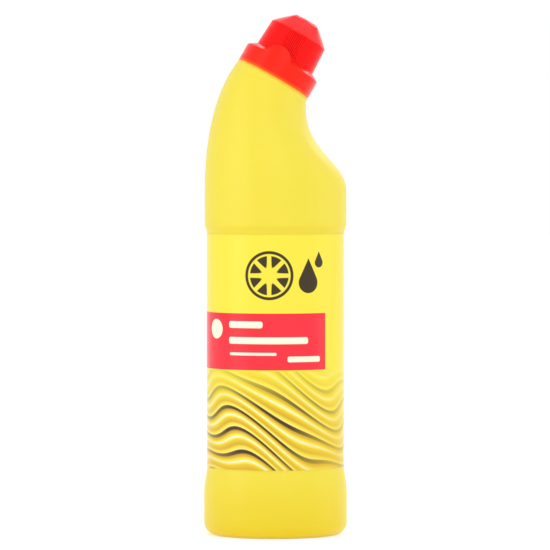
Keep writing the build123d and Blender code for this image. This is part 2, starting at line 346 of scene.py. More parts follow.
def oval_points(rings, angle):
    """Centre + half-width * cos(u) along the ring's across direction + half-depth * sin(u) to the back."""
    centre_x, centre_z, across_x, across_z, half_width, half_depth = rings.T[:, :, None]
    sideways = half_width * np.cos(angle)
    depth = half_depth * np.sin(angle)
    return np.stack([centre_x + sideways * across_x, depth, centre_z + sideways * across_z], axis=-1)


shell = oval_points(rings, angle)
print("the bottle's grid has", len(rings), "rows and", len(angle), "columns")

# %% Parting ridge, weld and mesh
SEAM_CLEAR = 4.0
WELD_DROP, WELD_WIDTH, WELD_HALF = 0.45, 0.6, 21.0
row = np.arange(len(rings))
height = rings[:, 1]
clear_of_panel = (height < panel_bottom - SEAM_CLEAR) | (height > step_top)
beside_base = rings[:, 4] > base_half - BASE_CORNER
has_seam = (row < len(outside)) & ((beside_base & clear_of_panel) | (height > shoulder_start))
ridge = SEAM_HEIGHT * np.exp(-((shell[..., 1] / SEAM_WIDTH) ** 2)) * has_seam[:, None]
shell[..., 0] += ridge * np.sign(np.cos(angle)) * rings[:, 2:3]
shell[..., 2] += ridge * np.sign(np.cos(angle)) * rings[:, 3:4]
under = (row < DOME_ROWS - 2)[:, None] * (np.abs(shell[..., 0]) < WELD_HALF)
shell[..., 2] -= under * WELD_DROP * np.exp(-((shell[..., 1] / WELD_WIDTH) ** 2))
bottle_poles = np.array([[0, 0, BASE_PUSH_UP - WELD_DROP], [0, 0, BASE_PUSH_UP + WALL]])
bottle = add_piece("blown_bottle", *closed_shell(shell, bottle_poles), "bottle", "bottle_plastic", "bottle")

# %% [markdown]
# ## The wrap label
#
# The label is one strip of film, glued round the panel and lapped over its own end at the back. It is a
# strip in the mesh too: a grid along the wrap, with an inner and an outer face a film's thickness apart.
# The first and last rows lie close together, so the smooth shading stays flat up to the film's edges.
# The strip gets a UV map in real lengths, measured from the middle of the front, so the print can be
# laid out in millimetres as a label designer would.

# %% The label strip
LABEL_FILM, LABEL_GLUE, LABEL_LAP = 0.15, 0.05, 10.0
LAP_EASE = 0.03
EDGE_HOLD = 0.06
WRAP_COLUMNS, FACE_ROWS = 260, 24
lap_angle = LABEL_LAP / 2 / (panel_half * depth_ratio)
wrap = np.linspace(-np.pi - lap_angle, np.pi + lap_angle, WRAP_COLUMNS)
lap_rise = np.clip((wrap - (np.pi - lap_angle - LAP_EASE)) / LAP_EASE, 0, 1)
lift = LABEL_GLUE + LABEL_FILM * lap_rise**2 * (3 - 2 * lap_rise)
inner_levels = np.linspace(label_low[2] + EDGE_HOLD, label_high[2] - EDGE_HOLD, FACE_ROWS)
levels = np.concatenate([[label_low[2]], inner_levels, [label_high[2]]])


def film_face(offset):
    """Film at this distance off the panel: x = (a + d) sin(w), y = -(b + d) cos(w), straight up in z."""
    x = (panel_half + offset) * np.sin(wrap)
    y = -(panel_half * depth_ratio + offset) * np.cos(wrap)
    grid = np.broadcast_arrays(x[None, :], y[None, :], levels[:, None])
    return np.stack(grid, axis=-1)


outer_face = film_face(lift + LABEL_FILM)
inner_face = film_face(lift)
rows, columns = outer_face.shape[:2]
sheet = grid_quads(rows, columns, wrap_columns=False)
index = np.arange(rows * columns).reshape(rows, columns)
border = np.concatenate([index[0, :-1], index[:-1, -1], index[-1, :0:-1], index[:0:-1, 0]])
beyond = np.roll(border, -1)
under_film = rows * columns
rim = np.column_stack([border, border + under_film, beyond + under_film, beyond])
film_points = np.vstack([outer_face.reshape(-1, 3), inner_face.reshape(-1, 3)])
film_quads = np.vstack([sheet, sheet[:, ::-1] + under_film, rim])
label = add_piece("wrap_label", film_points, film_quads, None, "bottle", "label_film", "label")

# %% Lengths along the strip
UV_UNIT = 100.0
step_length = np.linalg.norm(np.diff(outer_face[0], axis=0), axis=1)
along_wrap = np.concatenate([[0.0], np.cumsum(step_length)])
along_wrap -= np.interp(0.0, wrap, along_wrap)
flat = np.stack(np.broadcast_arrays(along_wrap[None, :], (levels - levels[0])[:, None]), axis=-1)
flat = np.tile(flat.reshape(-1, 2) / UV_UNIT, (2, 1)).astype(np.float32)
corner_of = np.empty(len(label.data.loops), np.int32)
label.data.loops.foreach_get("vertex_index", corner_of)
label.data.uv_layers.new(name="print")
label.data.uv_layers["print"].data.foreach_set("uv", flat[corner_of].ravel())
print("the strip is", round(float(along_wrap[-1] - along_wrap[0]), 1), "mm long")

# %% [markdown]
# ## The collar with its spout
#
# The collar is pressed over the neck's bead and never comes off. It is turned about the neck: an outer
# wall with a rounded corner and a cone up to its lip, a channel that the cap stands in, and the spout in
# the middle. A turned piece is a closed profile carried round an axis, so the grid wraps both ways and
# needs no poles. Its two sides have a shallow flat mark. The two arched tabs that hold the squeezed cap
# are thin plates on the same wall.

# %% Profile of the collar
SPOUT_RADIUS, SPOUT_INNER, OUTLET_RADIUS = 9.0, 7.7, 6.0
SPOUT_TOP_RADIUS, OUTLET_RIM = 7.6, 6.9
PLUG_WALL = 1.1
COLLAR_BOTTOM, COLLAR_CORNER, COLLAR_TOP = -0.45, 9.4, 11.8
LIP_UNDER, WALL_SHELF = 10.0, 8.6
WEB_TOP, WEB_BOTTOM, DECK_TOP = 7.4, 6.0, 10.4
SPOUT_BEVEL, SPOUT_TOP, OUTLET_TOP = 21.8, 23.2, 24.0
OUTLET_LOW, SPOUT_ROOF = 21.9, 20.5
PLUG_END, SLEEVE_END = 4.95, 2.2
COLLAR_SPACING = 2.0
plug_outer = bore_radius - FIT
plug_inner = plug_outer - PLUG_WALL
rim_level = NECK_LENGTH + FIT
groove = sleeve_inner + SNAP_BEAD
outside_corners = [
    (collar_radius, COLLAR_BOTTOM, 0.3), (collar_radius, COLLAR_CORNER, 1.4), (lip_radius, COLLAR_TOP, 0.3),
    (lip_radius, LIP_UNDER, 0.3), (collar_inner, WALL_SHELF, 0.5), (collar_inner, WEB_TOP, 0.4),
    (sleeve_outer, WEB_TOP, 0.4), (sleeve_outer, DECK_TOP, 0.3), (SPOUT_RADIUS, DECK_TOP, 0.4),
    (SPOUT_RADIUS, SPOUT_BEVEL, 0.5), (SPOUT_TOP_RADIUS, SPOUT_TOP, 0.3), (OUTLET_RIM, SPOUT_TOP, 0.2),
    (OUTLET_RIM, OUTLET_TOP, 0.2), (OUTLET_RADIUS, OUTLET_TOP, 0.2),
]
inside_corners = [
    (OUTLET_RADIUS, OUTLET_LOW, 0.3), (SPOUT_INNER, SPOUT_ROOF, 0.5), (SPOUT_INNER, rim_level, 0.3),
    (plug_inner, rim_level, 0.3), (plug_inner, PLUG_END, 0.2), (plug_outer, PLUG_END, 0.3),
    (plug_outer, rim_level, 0.2), (sleeve_inner, rim_level, 0.2), (sleeve_inner, BEAD_HIGH + FIT, 0.1),
    (groove, BEAD_HIGH - SNAP_BEAD + FIT, 0.1), (groove, BEAD_LOW - FIT, 0.1),
    (sleeve_inner, BEAD_LOW - FIT, 0.1), (sleeve_inner, SLEEVE_END, 0.2), (sleeve_outer, SLEEVE_END, 0.3),
    (sleeve_outer, WEB_BOTTOM, 0.3), (collar_inner, WEB_BOTTOM, 0.3), (collar_inner, FIT, 0.3),
]
profile = rounded_path(outside_corners + inside_corners, COLLAR_SPACING, closed=True)
print("the collar's profile has", len(profile), "points")

# %% Turned collar with its side marks
SLOT_LOW, SLOT_HIGH, SLOT_DEPTH, SLOT_EDGE = 3.0, 4.6, 0.25, 0.1
WALL_LOW, WALL_HIGH = 1.0, 9.0
COLLAR_COLUMNS = 168
slot_levels = [SLOT_LOW - SLOT_EDGE, SLOT_LOW, SLOT_HIGH, SLOT_HIGH + SLOT_EDGE]
slot_rows = np.column_stack([np.full(len(slot_levels), collar_radius), slot_levels])
on_wall = (profile[:, 0] > collar_radius - 0.01) & (profile[:, 1] > WALL_LOW) & (profile[:, 1] < WALL_HIGH)
wall_points = np.vstack([profile[on_wall], slot_rows])
wall_points = wall_points[np.argsort(wall_points[:, 1])]
first = int(np.argmax(on_wall))
profile = np.vstack([profile[:first], wall_points, profile[first + int(on_wall.sum()):]])


def about_neck(radius, level, turn):
    """Point at this radius, level and turn: seat + level up the neck + radius in the turned direction."""
    radius, level, turn = (part[..., None] for part in np.broadcast_arrays(radius, level, turn))
    return seat + level * neck_up + radius * (np.cos(turn) * neck_out + np.sin(turn) * to_back)


turns = np.linspace(0, 2 * np.pi, COLLAR_COLUMNS, endpoint=False)
radius, level = profile.T[:, :, None]
in_slot = (level > SLOT_LOW - SLOT_EDGE / 2) & (level < SLOT_HIGH + SLOT_EDGE / 2)
in_slot &= radius > collar_radius - SLOT_EDGE
flat_side = (collar_radius - SLOT_DEPTH) / np.maximum(np.abs(np.cos(turns)), 0.5)
radius = np.where(in_slot, np.minimum(radius, flat_side[None, :]), radius)
collar_points = about_neck(radius, level, turns).reshape(-1, 3)
collar_quads = grid_quads(len(profile), len(turns), wrap_rows=True)
print("the turned collar has", len(collar_points), "points")

# %% Collar tabs
TAB_TURN = 16.0
TAB_RADIUS, TAB_TOP, TAB_FOOT, TAB_EDGE = 7.8, 15.8, 7.8, 0.35
TAB_PROUD, TAB_SINK, FOOT_SINK = 0.015, 0.05, 0.3
TAB_SWEEP, TAB_COLUMNS = np.radians(82.0), 73
tab_outer = collar_radius + TAB_PROUD
tab_inner = collar_inner + TAB_SINK
face_share = np.array([0.0, 0.01, 0.03, 0.5, 0.96])


def tab_plate(turn):
    """Arched plate flush with the wall: R sin(p) across, and a top edge at T - R + R cos(p) up the neck.

    Each column runs up the outer face, over an edge with two small arcs, and down the inner face. Its
    foot is sunk in the collar's wall.
    """
    sweep = np.linspace(-TAB_SWEEP, TAB_SWEEP, TAB_COLUMNS)[None, :]
    aside = np.arcsin(TAB_RADIUS * np.sin(sweep) / collar_radius)
    top = TAB_TOP - TAB_RADIUS + TAB_RADIUS * np.cos(sweep)
    arc = np.linspace(0, np.pi / 2, 5)
    leaving, closing = TAB_EDGE * (1 - np.cos(arc)), TAB_EDGE * (1 - np.sin(arc))
    outer_r = np.where(face_share > 0, tab_outer, tab_outer - FOOT_SINK)
    edge_r = np.concatenate([tab_outer - leaving, tab_inner + closing])
    edge_drop = np.concatenate([closing, leaving])
    face_level = TAB_FOOT + face_share[:, None] * (top - TAB_EDGE - TAB_FOOT)
    level = np.vstack([face_level, top - edge_drop[:, None], face_level[::-1]])
    r = np.concatenate([outer_r, edge_r, np.full(len(face_share), tab_inner)])[:, None]
    return about_neck(r, level, turn + aside)


parts, quads, fans = [collar_points], [collar_quads], []
for side in (-90.0, 90.0):
    plate = tab_plate(np.radians(side - TAB_TURN))
    rows, columns = plate.shape[:2]
    offset = sum(len(part) for part in parts)
    parts.append(np.vstack([plate.reshape(-1, 3), plate[:, 0].mean(axis=0), plate[:, -1].mean(axis=0)]))
    quads.append(grid_quads(rows, columns, wrap_rows=True, wrap_columns=False) + offset)
    first_end = offset + np.arange(rows) * columns
    fans.append(pole_fan(offset + rows * columns, first_end, flip=True))
    fans.append(pole_fan(offset + rows * columns + 1, first_end + columns - 1))
collar_mesh = (np.vstack(arrays) for arrays in (parts, quads, fans))
spout_collar = add_piece("spout_collar_moulding", *collar_mesh, "bottle", "closure_plastic", "spout_collar")

# %% [markdown]
# ## The squeeze-and-turn cap
#
# The cap starts as a slightly tapered round wall and ends as a small square top, with four faces that
# run from a quarter of the circle to one side of the square. Such a face is ruled: straight lines join
# matching points of the two curves. Each column of the grid is one of those lines, with its two corners
# eased by a short curve. The faces bow out a little and the top is a very flat cushion. Two pads
# of fine ribs show where to squeeze.

# %% Columns of the cap
CAP_TAPER = 0.95
CAP_BOTTOM, CAP_EDGE, CAP_TOP = 8.3, 26.7, 35.45
RIB_COUNT, RIB_SPREAD, RIB_HALF, RIB_PROUD = 11, np.radians(37.0), 0.45, 0.3
RIB_LOW, RIB_HIGH = 13.3, 26.3
PAD_MARGIN, PAD_COLUMNS = 0.05, 133
PLAIN_FROM, PLAIN_COLUMNS = 0.4, 120
cap_edge_radius = cap_radius - CAP_TAPER
half_side = np.radians(45.0)
pad_half = RIB_SPREAD / 2 + PAD_MARGIN
pad_turns = np.linspace(-pad_half, pad_half, PAD_COLUMNS)
plain_turns = np.linspace(PLAIN_FROM, 2 * np.pi - PLAIN_FROM, PLAIN_COLUMNS)
plain_turns = np.concatenate([plain_turns, half_side * np.array([1, 3, 5, 7])])
plain_turns = plain_turns[np.abs((plain_turns % np.pi) - np.pi / 2) < np.pi / 2 - PLAIN_FROM]
cap_turns = np.sort(np.concatenate([pad_turns, np.pi + pad_turns, plain_turns]) % (2 * np.pi))
from_pad = (cap_turns + np.pi / 2) % np.pi - np.pi / 2
print("the cap has", len(cap_turns), "columns")

# %% Ribbed wall of the cap
RIB_FADE = 0.5
LOWER_EDGE = 0.35


def flat_ring(radius, level):
    """Row of points on a circle at one level, in the cap's own x, y and level."""
    circle = radius * np.stack([np.cos(cap_turns), np.sin(cap_turns)], axis=-1)
    return np.column_stack([circle, np.full(len(cap_turns), level)])


def rib_height(level):
    """Ribs: half-round bars side by side across each pad, fading out at their two ends."""
    pitch = RIB_SPREAD / (RIB_COUNT - 1)
    from_rib = ((from_pad + RIB_SPREAD / 2 + pitch / 2) % pitch - pitch / 2) * cap_radius
    on_pad = np.abs(from_pad) < RIB_SPREAD / 2 + pitch / 2
    bar = np.sqrt(np.clip(1 - (from_rib / RIB_HALF) ** 2, 0, 1)) * on_pad
    ends = np.clip((level - RIB_LOW) / RIB_FADE, 0, 1) * np.clip((RIB_HIGH - level) / RIB_FADE, 0, 1)
    return RIB_PROUD * bar * np.sqrt(ends)


wall_levels = np.concatenate(
    [
        [CAP_BOTTOM + LOWER_EDGE],
        np.linspace(9.5, RIB_LOW - 0.1, 4),
        np.linspace(RIB_LOW, RIB_LOW + RIB_FADE, 6),
        np.linspace(RIB_LOW + 1.5, RIB_HIGH - 1.5, 7),
        np.linspace(RIB_HIGH - RIB_FADE, RIB_HIGH, 6),
    ]
)
taper = CAP_TAPER / (CAP_EDGE - CAP_BOTTOM)
wall_rows = np.stack(
    [flat_ring(cap_radius - taper * (z - CAP_BOTTOM) + rib_height(z)[:, None], z) for z in wall_levels]
)
print("the cap's wall has", len(wall_levels), "rows")

# %% Curves of the crown
CROWN_SIDE, CROWN_BOW, CROWN_DOME = 12.6, 0.03, 0.25


def square_outline(turn, side):
    """Point of a square that matches a turn: each quarter of the circle spreads evenly over one side."""
    sides_gone = (turn + half_side) / (2 * half_side)
    facing = np.floor(sides_gone) % 4 * 2 * half_side
    along = sides_gone % 1.0 - 0.5
    x = np.cos(facing) * side / 2 - np.sin(facing) * along * side
    y = np.sin(facing) * side / 2 + np.cos(facing) * along * side
    return np.stack([x, y], axis=-1)


edge_ring = flat_ring(cap_edge_radius, CAP_EDGE)
corner_drop = CROWN_DOME * np.sin(2 * cap_turns) ** 2
top_level = CAP_TOP + CROWN_DOME
top_square = np.column_stack([square_outline(cap_turns, CROWN_SIDE), top_level - corner_drop])
top_middle = top_square * [0, 0, 1]
inward = np.array([0.75, 0.5, 0.25, 0.1])[:, None, None]
top_rows = inward * (top_square - top_middle) + top_middle
top_rows[..., 2] = top_level - corner_drop * inward[..., 0] ** 2
climb = np.linspace(0.08, 0.92, 12)[:, None, None]
ruled = climb * (top_square - edge_ring) + edge_ring
ruled[..., :2] *= 1 + CROWN_BOW * 4 * climb * (1 - climb)
print("the crown is", round(top_level - CAP_EDGE, 2), "mm high")

# %% Eased corners and soft ridges
EDGE_EASE, TOP_EASE = 0.4, 1.0
RIDGE_SOFT = 0.13


def eased_corner(start, corner, end, reach, count):
    """Short curve that eases a corner: a parabola between points a reach before and behind it."""
    first, last = (
        corner + (other - corner) * np.minimum(1, reach / np.linalg.norm(other - corner, axis=-1))[..., None]
        for other in (start, end)
    )
    t = np.linspace(0, 1, count)[:, None, None]
    return (1 - t) ** 2 * first + 2 * t * (1 - t) * corner + t**2 * last


def soften_ridges(rows, turns, reach):
    """Round the ridges between the crown's faces: a weighted mean of each row over nearby columns."""
    apart = np.abs((turns[:, None] - turns[None, :] + np.pi) % (2 * np.pi) - np.pi)
    spacing = np.abs((np.roll(turns, -1) - np.roll(turns, 1) + np.pi) % (2 * np.pi) - np.pi)
    weight = np.exp(-((apart / reach) ** 2)) * spacing
    weight /= weight.sum(axis=1, keepdims=True)
    return np.einsum("ij,rjk->rik", weight, rows)


below_edge = flat_ring(cap_radius - taper * (RIB_HIGH - CAP_BOTTOM), RIB_HIGH)
lower_rows = eased_corner(below_edge, edge_ring, top_square, EDGE_EASE, 6)
upper_rows = eased_corner(edge_ring, top_square, top_middle, TOP_EASE, 7)
faces = soften_ridges(np.concatenate([ruled, upper_rows, top_rows]), cap_turns, RIDGE_SOFT)
crown = np.concatenate([lower_rows, faces])
print("the crown has", len(crown), "rows")

# %% Inside of the cap, and its mesh
CAP_TURN = 7.0
CORE_RADIUS, CORE_TOP = 7.0, 33.4
SKIRT_INNER, SKIRT_OUTER, SKIRT_END = 10.2, 11.6, 12.2
WAD_TOP, WAD_BOTTOM, WAD_BEAD, WAD_BEAD_HALF = 25.4, 24.0, 0.45, 0.3
CAP_ROOF, ROOF_WALL, EDGE_LEAN = 25.6, 1.45, 0.02
CAP_SPACING = 2.0
inner_corners = [
    (CORE_RADIUS, CORE_TOP, 0.0), (CORE_RADIUS, WAD_TOP, 0.3), (SKIRT_INNER, WAD_TOP, 0.3),
    (SKIRT_INNER, WAD_BOTTOM, 0.1), (SKIRT_INNER - WAD_BEAD, WAD_BOTTOM - WAD_BEAD_HALF, 0.1),
    (SKIRT_INNER, WAD_BOTTOM - 2 * WAD_BEAD_HALF, 0.1), (SKIRT_INNER, SKIRT_END, 0.2),
    (SKIRT_OUTER, SKIRT_END, 0.2), (SKIRT_OUTER, CAP_ROOF, 0.4),
    (cap_edge_radius - ROOF_WALL, CAP_ROOF, 0.4), (cap_radius - CAP_WALL, CAP_BOTTOM, 0.3),
    (cap_radius, CAP_BOTTOM, 0.3), (cap_radius - EDGE_LEAN, CAP_BOTTOM + LOWER_EDGE, 0.0),
]
inner_path = rounded_path(inner_corners, CAP_SPACING)
inner_rows = np.stack([flat_ring(r, z) for r, z in inner_path[:-1]])
cap_rows = np.concatenate([inner_rows, wall_rows, crown])


def on_neck(local):
    """Seat + x out of the front pad + y square to it + level up the neck: the columns start at a pad."""
    front = np.radians(-CAP_TURN)
    turned_x = np.cos(front) * neck_out + np.sin(front) * to_back
    turned_y = np.cos(front) * to_back - np.sin(front) * neck_out
    return seat + local[..., 0:1] * -turned_y + local[..., 1:2] * turned_x + local[..., 2:3] * neck_up


cap_poles = on_neck(np.array([[0, 0, CORE_TOP], [0, 0, top_level]]))
cap = add_piece("squeeze_cap", *closed_shell(on_neck(cap_rows), cap_poles), "cap", "closure_plastic", "cap")

# %% Painted shade between the ribs
SHADE_MARGIN = 0.06
rib_share = rib_height((RIB_LOW + RIB_HIGH) / 2) / RIB_PROUD
in_pad = np.clip(1 - (from_pad / (RIB_SPREAD / 2 + SHADE_MARGIN)) ** 2, 0, 1)
rib_shade_part = np.zeros(cap_rows.shape[:2])
first_wall = len(inner_rows)
ribbed = (wall_levels > RIB_LOW) & (wall_levels < RIB_HIGH)
rib_shade_part[first_wall:first_wall + len(wall_levels)] = ribbed[:, None] * (in_pad * (1 - rib_share))[None, :]
# Painted shade: the attribute is one in the valleys between the ribs, where the red is painted deeper.
between = cap.data.attributes.new("rib_painted_shade", "FLOAT", "POINT")
between.data.foreach_set("value", np.concatenate([rib_shade_part.ravel(), [0, 0]]).astype(np.float32))
print("columns between ribs:", int((rib_shade_part[first_wall + len(wall_levels) // 2] > 0.5).sum()))

# %% [markdown]
# ## The threads
#
# The spout and the cap are joined by a coarse right-hand thread of 4 mm lead. A thread is a small
# profile carried along a helix, its height fading at both ends. The cap's thread lies half a turn from
# the spout's, so the two never meet while the cap climbs.

# %% Thread pieces
LEAD = 4.0
THREAD_COLUMNS = 90
FADE_TURNS = 0.12
THREAD_PLACES = np.array([-1.0, -0.75, -0.4, 0.4, 0.75, 1.0])[:, None]
THREAD_RISES = np.array([-0.25, 0.3, 1.0, 1.0, 0.3, -0.25])[:, None]


def add_thread(name, body, root, crest, start_level, turns_long, start_turn, half_width):
    """Profile along a helix: level = start + lead * turns; the crest fades to the root at both ends.

    The profile wraps round to a closed strip, and the faded ends lie inside the wall.
    """
    along = np.linspace(0, turns_long, int(THREAD_COLUMNS * turns_long))[None, :]
    fade = np.clip(np.minimum(along, turns_long - along) / FADE_TURNS, 0, 1)
    fade = np.sqrt(fade * (2 - fade))
    radius = root + (crest - root) * THREAD_RISES * fade
    level = start_level + LEAD * along + half_width * THREAD_PLACES * (0.3 + 0.7 * fade)
    points = about_neck(radius, level, start_turn + 2 * np.pi * along)
    quads = grid_quads(*points.shape[:2], wrap_rows=True, wrap_columns=False)
    quads = quads if crest > root else quads[:, ::-1]
    return add_piece(name, points.reshape(-1, 3), quads, None, body, "closure_plastic")


spout_thread = add_thread(
    "spout_thread", "bottle", root=SPOUT_RADIUS, crest=9.75, start_level=12.6, turns_long=1.9,
    start_turn=0.0, half_width=0.75,
)
cap_thread = add_thread(
    "cap_thread", "cap", root=SKIRT_INNER, crest=9.4, start_level=13.6, turns_long=1.7,
    start_turn=-np.pi / 2, half_width=0.6,
)

# %% [markdown]
# ## Tools for materials
#
# A material here is a small tree of nodes. A few helpers keep the trees short: they add a node and feed
# its inputs, run a value from one range to another, lay an ink over another through a mask, and do
# arithmetic by plain names. A link knows its own tree, so most of them need only the values. Colours are
# linear values.

# %% Node helpers
def new_material(name):
    """An empty node tree with a principled shader wired to the output."""
    material = bpy.data.materials.new(name)
    material.use_nodes = True
    tree = material.node_tree
    return material, tree, tree.nodes["Principled BSDF"]


def feed(socket, value):
    """Feed one input with a link where the value comes from a node, and else with the plain value."""
    if isinstance(value, bpy.types.NodeSocket):
        socket.id_data.links.new(value, socket)
    else:
        socket.default_value = value


def feed_named(node, values):
    """Feed a node's inputs by their names."""
    for name, value in values.items():
        feed(node.inputs[name], value)


def add_node(tree, kind, *inputs, **options):
    """Add one node, set its options, and feed its inputs in order, where None leaves one as it is."""
    made = tree.nodes.new(kind)
    for option, value in options.items():
        setattr(made, option, value)
    for socket, value in zip(made.inputs, inputs):
        if value is not None:
            feed(socket, value)
    return made.outputs[0]


def run(value, start, end, first, last, **options):
    """Runs from first to last while the value goes from start to end, and stays there beyond them."""
    return add_node(value.id_data, "ShaderNodeMapRange", value, start, end, first, last, **options)


def lay_ink(under, ink, mask):
    """Colour under the mask's zeros and ink under its ones."""
    mix = mask.id_data.nodes.new("ShaderNodeMix")
    mix.data_type = "RGBA"
    for place, value in ((0, mask), (6, under), (7, ink)):
        feed(mix.inputs[place], value)
    return mix.outputs[2]


def math_step(operation):
    """A function that takes links and numbers through one math node, in the tree of the first link."""
    def step(*values):
        tree = next(value.id_data for value in values if isinstance(value, bpy.types.NodeSocket))
        return add_node(tree, "ShaderNodeMath", *values, operation=operation)

    return step


plus, minus, times, divided = map(math_step, ("ADD", "SUBTRACT", "MULTIPLY", "DIVIDE"))
absolute, larger, smaller = map(math_step, ("ABSOLUTE", "MAXIMUM", "MINIMUM"))
sine, root, turn_of, fraction = map(math_step, ("SINE", "SQRT", "ARCTAN2", "FRACT"))
print("made helpers for nodes, ranges, inks and arithmetic")


# %% Coordinates, noise and bump
def object_point(tree):
    """The point in the piece's own coordinates, in metres."""
    return tree.nodes.new("ShaderNodeTexCoord").outputs["Object"]


def parts_of(vector):
    """The three parts of a vector."""
    parted = vector.id_data.nodes.new("ShaderNodeSeparateXYZ")
    feed(parted.inputs[0], vector)
    return parted.outputs[:]


def noise(tree, scale, detail=2.0, stretch=(1.0, 1.0, 1.0)):
    """Noise in object coordinates, in features per metre, stretched along an axis where asked."""
    texture = tree.nodes.new("ShaderNodeTexNoise")
    mapped = add_node(tree, "ShaderNodeMapping", object_point(tree), None, None, stretch)
    feed_named(texture, {"Vector": mapped, "Scale": scale, "Detail": detail})
    return texture.outputs[0]


def spread(value, low, high):
    """A noise value from 0 to 1 stretched to the range from low to high."""
    return run(value, 0.0, 1.0, low, high)


def bump(height, strength, distance):
    """A bump normal from a height value."""
    made = height.id_data.nodes.new("ShaderNodeBump")
    feed_named(made, {"Strength": strength, "Distance": distance, "Height": height})
    return made.outputs[0]


def neck_level(tree):
    """Height above the collar's seat in mm: the point's length along the neck, less the seat's."""
    dot = tree.nodes.new("ShaderNodeVectorMath")
    dot.operation = "DOT_PRODUCT"
    feed(dot.inputs[0], object_point(tree))
    feed(dot.inputs[1], neck_up / MM)
    return minus(dot.outputs["Value"], float(seat @ neck_up))


print("the seat lies", round(float(seat @ neck_up), 1), "mm along the neck's direction")

# %% [markdown]
# ## Bottle plastic
#
# Blown polyethylene is a little waxy: the colour is even but not dead, and the skin copies a sandblasted
# mould, so highlights are broad. A wide noise varies the colour by a few percent and the gloss a little
# more, and a fine one makes the skin. The yellow is painted deeper towards the foot and at the step above
# the label as painted shade, a brighter gold glow is painted on the lowest millimetres of the foot, and an
# orange band is painted under the red collar as a painted reflection of it.

# %% Yellow bottle material
PLASTIC_IOR = 1.5
PALE_YELLOW, YELLOW = (0.93, 0.745, 0.058, 1), (0.91, 0.715, 0.048, 1)
# Painted shade colour, and how far up from the bottom the painted shade reaches.
SHADED_YELLOW, BASE_SHADE_REACH = (0.885, 0.645, 0.014, 1), 45.0
FOOT_PAINTED_GLOW, FOOT_REACH, FOOT_GLOW = (0.99, 0.665, 0.001, 1), 6.0, 0.9
# Painted shade on the step: its strength, and the share of the step's height where it is full.
STEP_SHADE, STEP_SHADE_CORE = 0.35, 0.2
# Painted reflection of the red collar on the yellow: its colour, where it centres, its reach and strength.
RIM_PAINTED_REFLECTION, RIM_DEPTH, RIM_REACH, RIM_REFLECTION_SHARE = (0.95, 0.36, 0.008, 1), 0.6, 1.5, 0.8
bottle_material, tree, shader = new_material("bottle_plastic")
cloud = noise(tree, scale=22.0, detail=3.0, stretch=(1.0, 1.0, 0.5))
yellow = lay_ink(YELLOW, PALE_YELLOW, cloud)
upright = parts_of(object_point(tree))[2]
# Painted shade: the yellow is painted deeper towards the bottom, fading out 45 mm up.
base_shade = run(upright, 0.0, BASE_SHADE_REACH * MM, 1.0, 0.0, interpolation_type="SMOOTHSTEP")
# Painted light: a brighter gold glow painted on the lowest 6 mm of the foot.
foot = run(upright, 0.0, FOOT_REACH * MM, FOOT_GLOW, 0.0)
# Painted shade: a band of deeper yellow painted on the step above the label.
step_middle = (panel_top + step_top) / 2 * MM
from_step = absolute(minus(upright, step_middle))
step_shade = run(from_step, STEP_SHADE_CORE * STEP_HEIGHT * MM, STEP_HEIGHT * MM, STEP_SHADE, 0.0)
# Painted reflection: an orange band painted on the bottle just under the red collar.
from_rim = absolute(plus(neck_level(tree), RIM_DEPTH))
rim_reflection = run(from_rim, 0.0, RIM_REACH, RIM_REFLECTION_SHARE, 0.0)
# Lay on the painted shade at the base, the painted glow at the foot, the painted shade at the step and the
# painted reflection under the collar.
for ink, mask in ((SHADED_YELLOW, base_shade), (FOOT_PAINTED_GLOW, foot), (SHADED_YELLOW, step_shade), (RIM_PAINTED_REFLECTION, rim_reflection)):
    yellow = lay_ink(yellow, ink, mask)
bottle_finish = {
    "Base Color": yellow,
    "Roughness": spread(noise(tree, scale=140.0), low=0.3, high=0.42),
    "Normal": bump(noise(tree, scale=2600.0), strength=0.12, distance=0.0001),
    "IOR": PLASTIC_IOR,
    "Specular IOR Level": 0.35,
    "Subsurface Weight": 0.2,
    "Subsurface Radius": (1.0, 0.55, 0.08),
    "Subsurface Scale": 0.004,
}
feed_named(shader, bottle_finish)
bottle.data.materials.append(bottle_material)
print("bottle plastic has", len(tree.nodes), "nodes")

# %% [markdown]
# ## Closure plastic
#
# Cap and collar are moulded from a glossier plastic, the collar's a shade more orange. Flow from the gate
# leaves a very faint streak along the part, and handling dulls the gloss in patches. The collar's lower
# edge is painted orange as a painted reflection of the yellow bottle, and the cap's crown has a higher
# polish than its wall. The cap's mesh carries an attribute that is one between the ribs, and the red is
# painted deeper there as painted shade.

# %% Red closure material
CAP_REDS = (0.94, 0.005, 0.005, 1), (0.97, 0.009, 0.008, 1)
COLLAR_REDS = (0.93, 0.012, 0.003, 1), (0.96, 0.018, 0.005, 1)
# Painted shade colour for the valleys between the ribs.
RIB_SHADE_RED = (0.74, 0.001, 0.002, 1)
# Painted reflection of the yellow bottle on the collar's lower edge: its colour, reach and strength.
EDGE_PAINTED_REFLECTION, EDGE_REACH, EDGE_REFLECTION_SHARE = (0.97, 0.16, 0.001, 1), 1.4, 0.95
WALL_POLISH, CROWN_POLISH = 0.1, 0.38
POLISH_BELOW, POLISH_ABOVE = 0.3, 0.6


